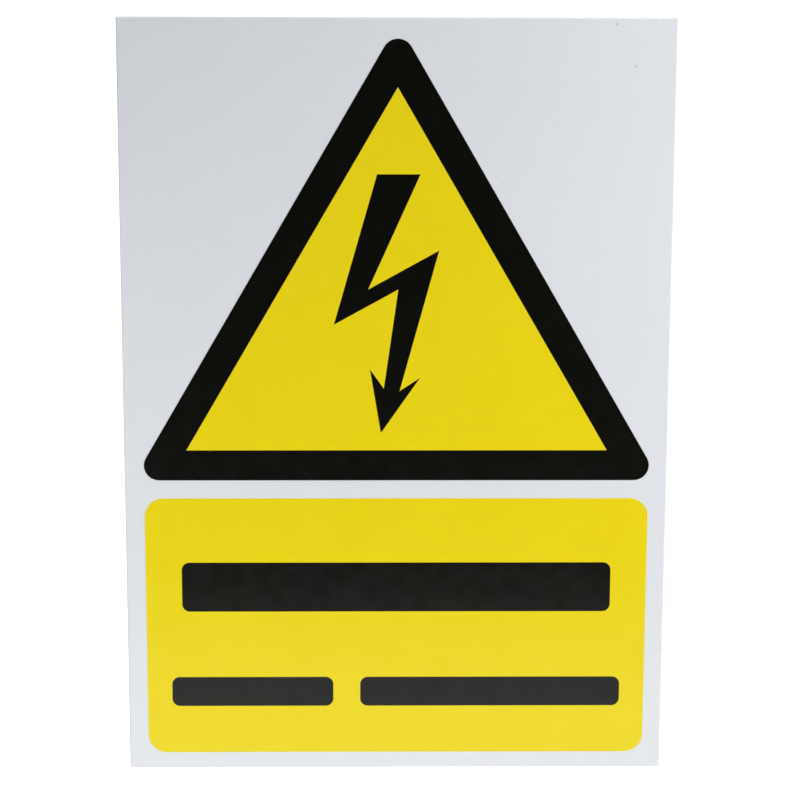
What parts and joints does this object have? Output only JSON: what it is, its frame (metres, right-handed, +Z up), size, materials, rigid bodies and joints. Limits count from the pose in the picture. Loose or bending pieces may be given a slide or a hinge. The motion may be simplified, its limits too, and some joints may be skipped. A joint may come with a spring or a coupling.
{
  "type": "electrical hazard warning sign",
  "caption": "Upright rectangular sign sheet, printed with a black-bordered yellow triangle holding a lightning-bolt arrow above a yellow panel with plain bars.",
  "frame": {"origin": "centre of the flat back face, where the sign meets the wall or door that it is fixed to", "axes": "+Z up the height of the sign as it is fixed, +Y into the wall, out of the back face, +X to the reader's right, printed front towards -Y"},
  "size_m": [0.21, 0.0011, 0.297],
  "materials": {
    "sheet_plastic": "satin",
    "yellow_print": "satin",
    "black_print": "satin"
  },
  "bodies": {
    "root": {"sheet": "sheet_plastic", "border": "black_print", "yellow_field": "yellow_print", "bolt": "black_print", "panel": "yellow_print", "upper_bar": "black_print", "lower_bars": "black_print"}
  },
  "joints": []
}
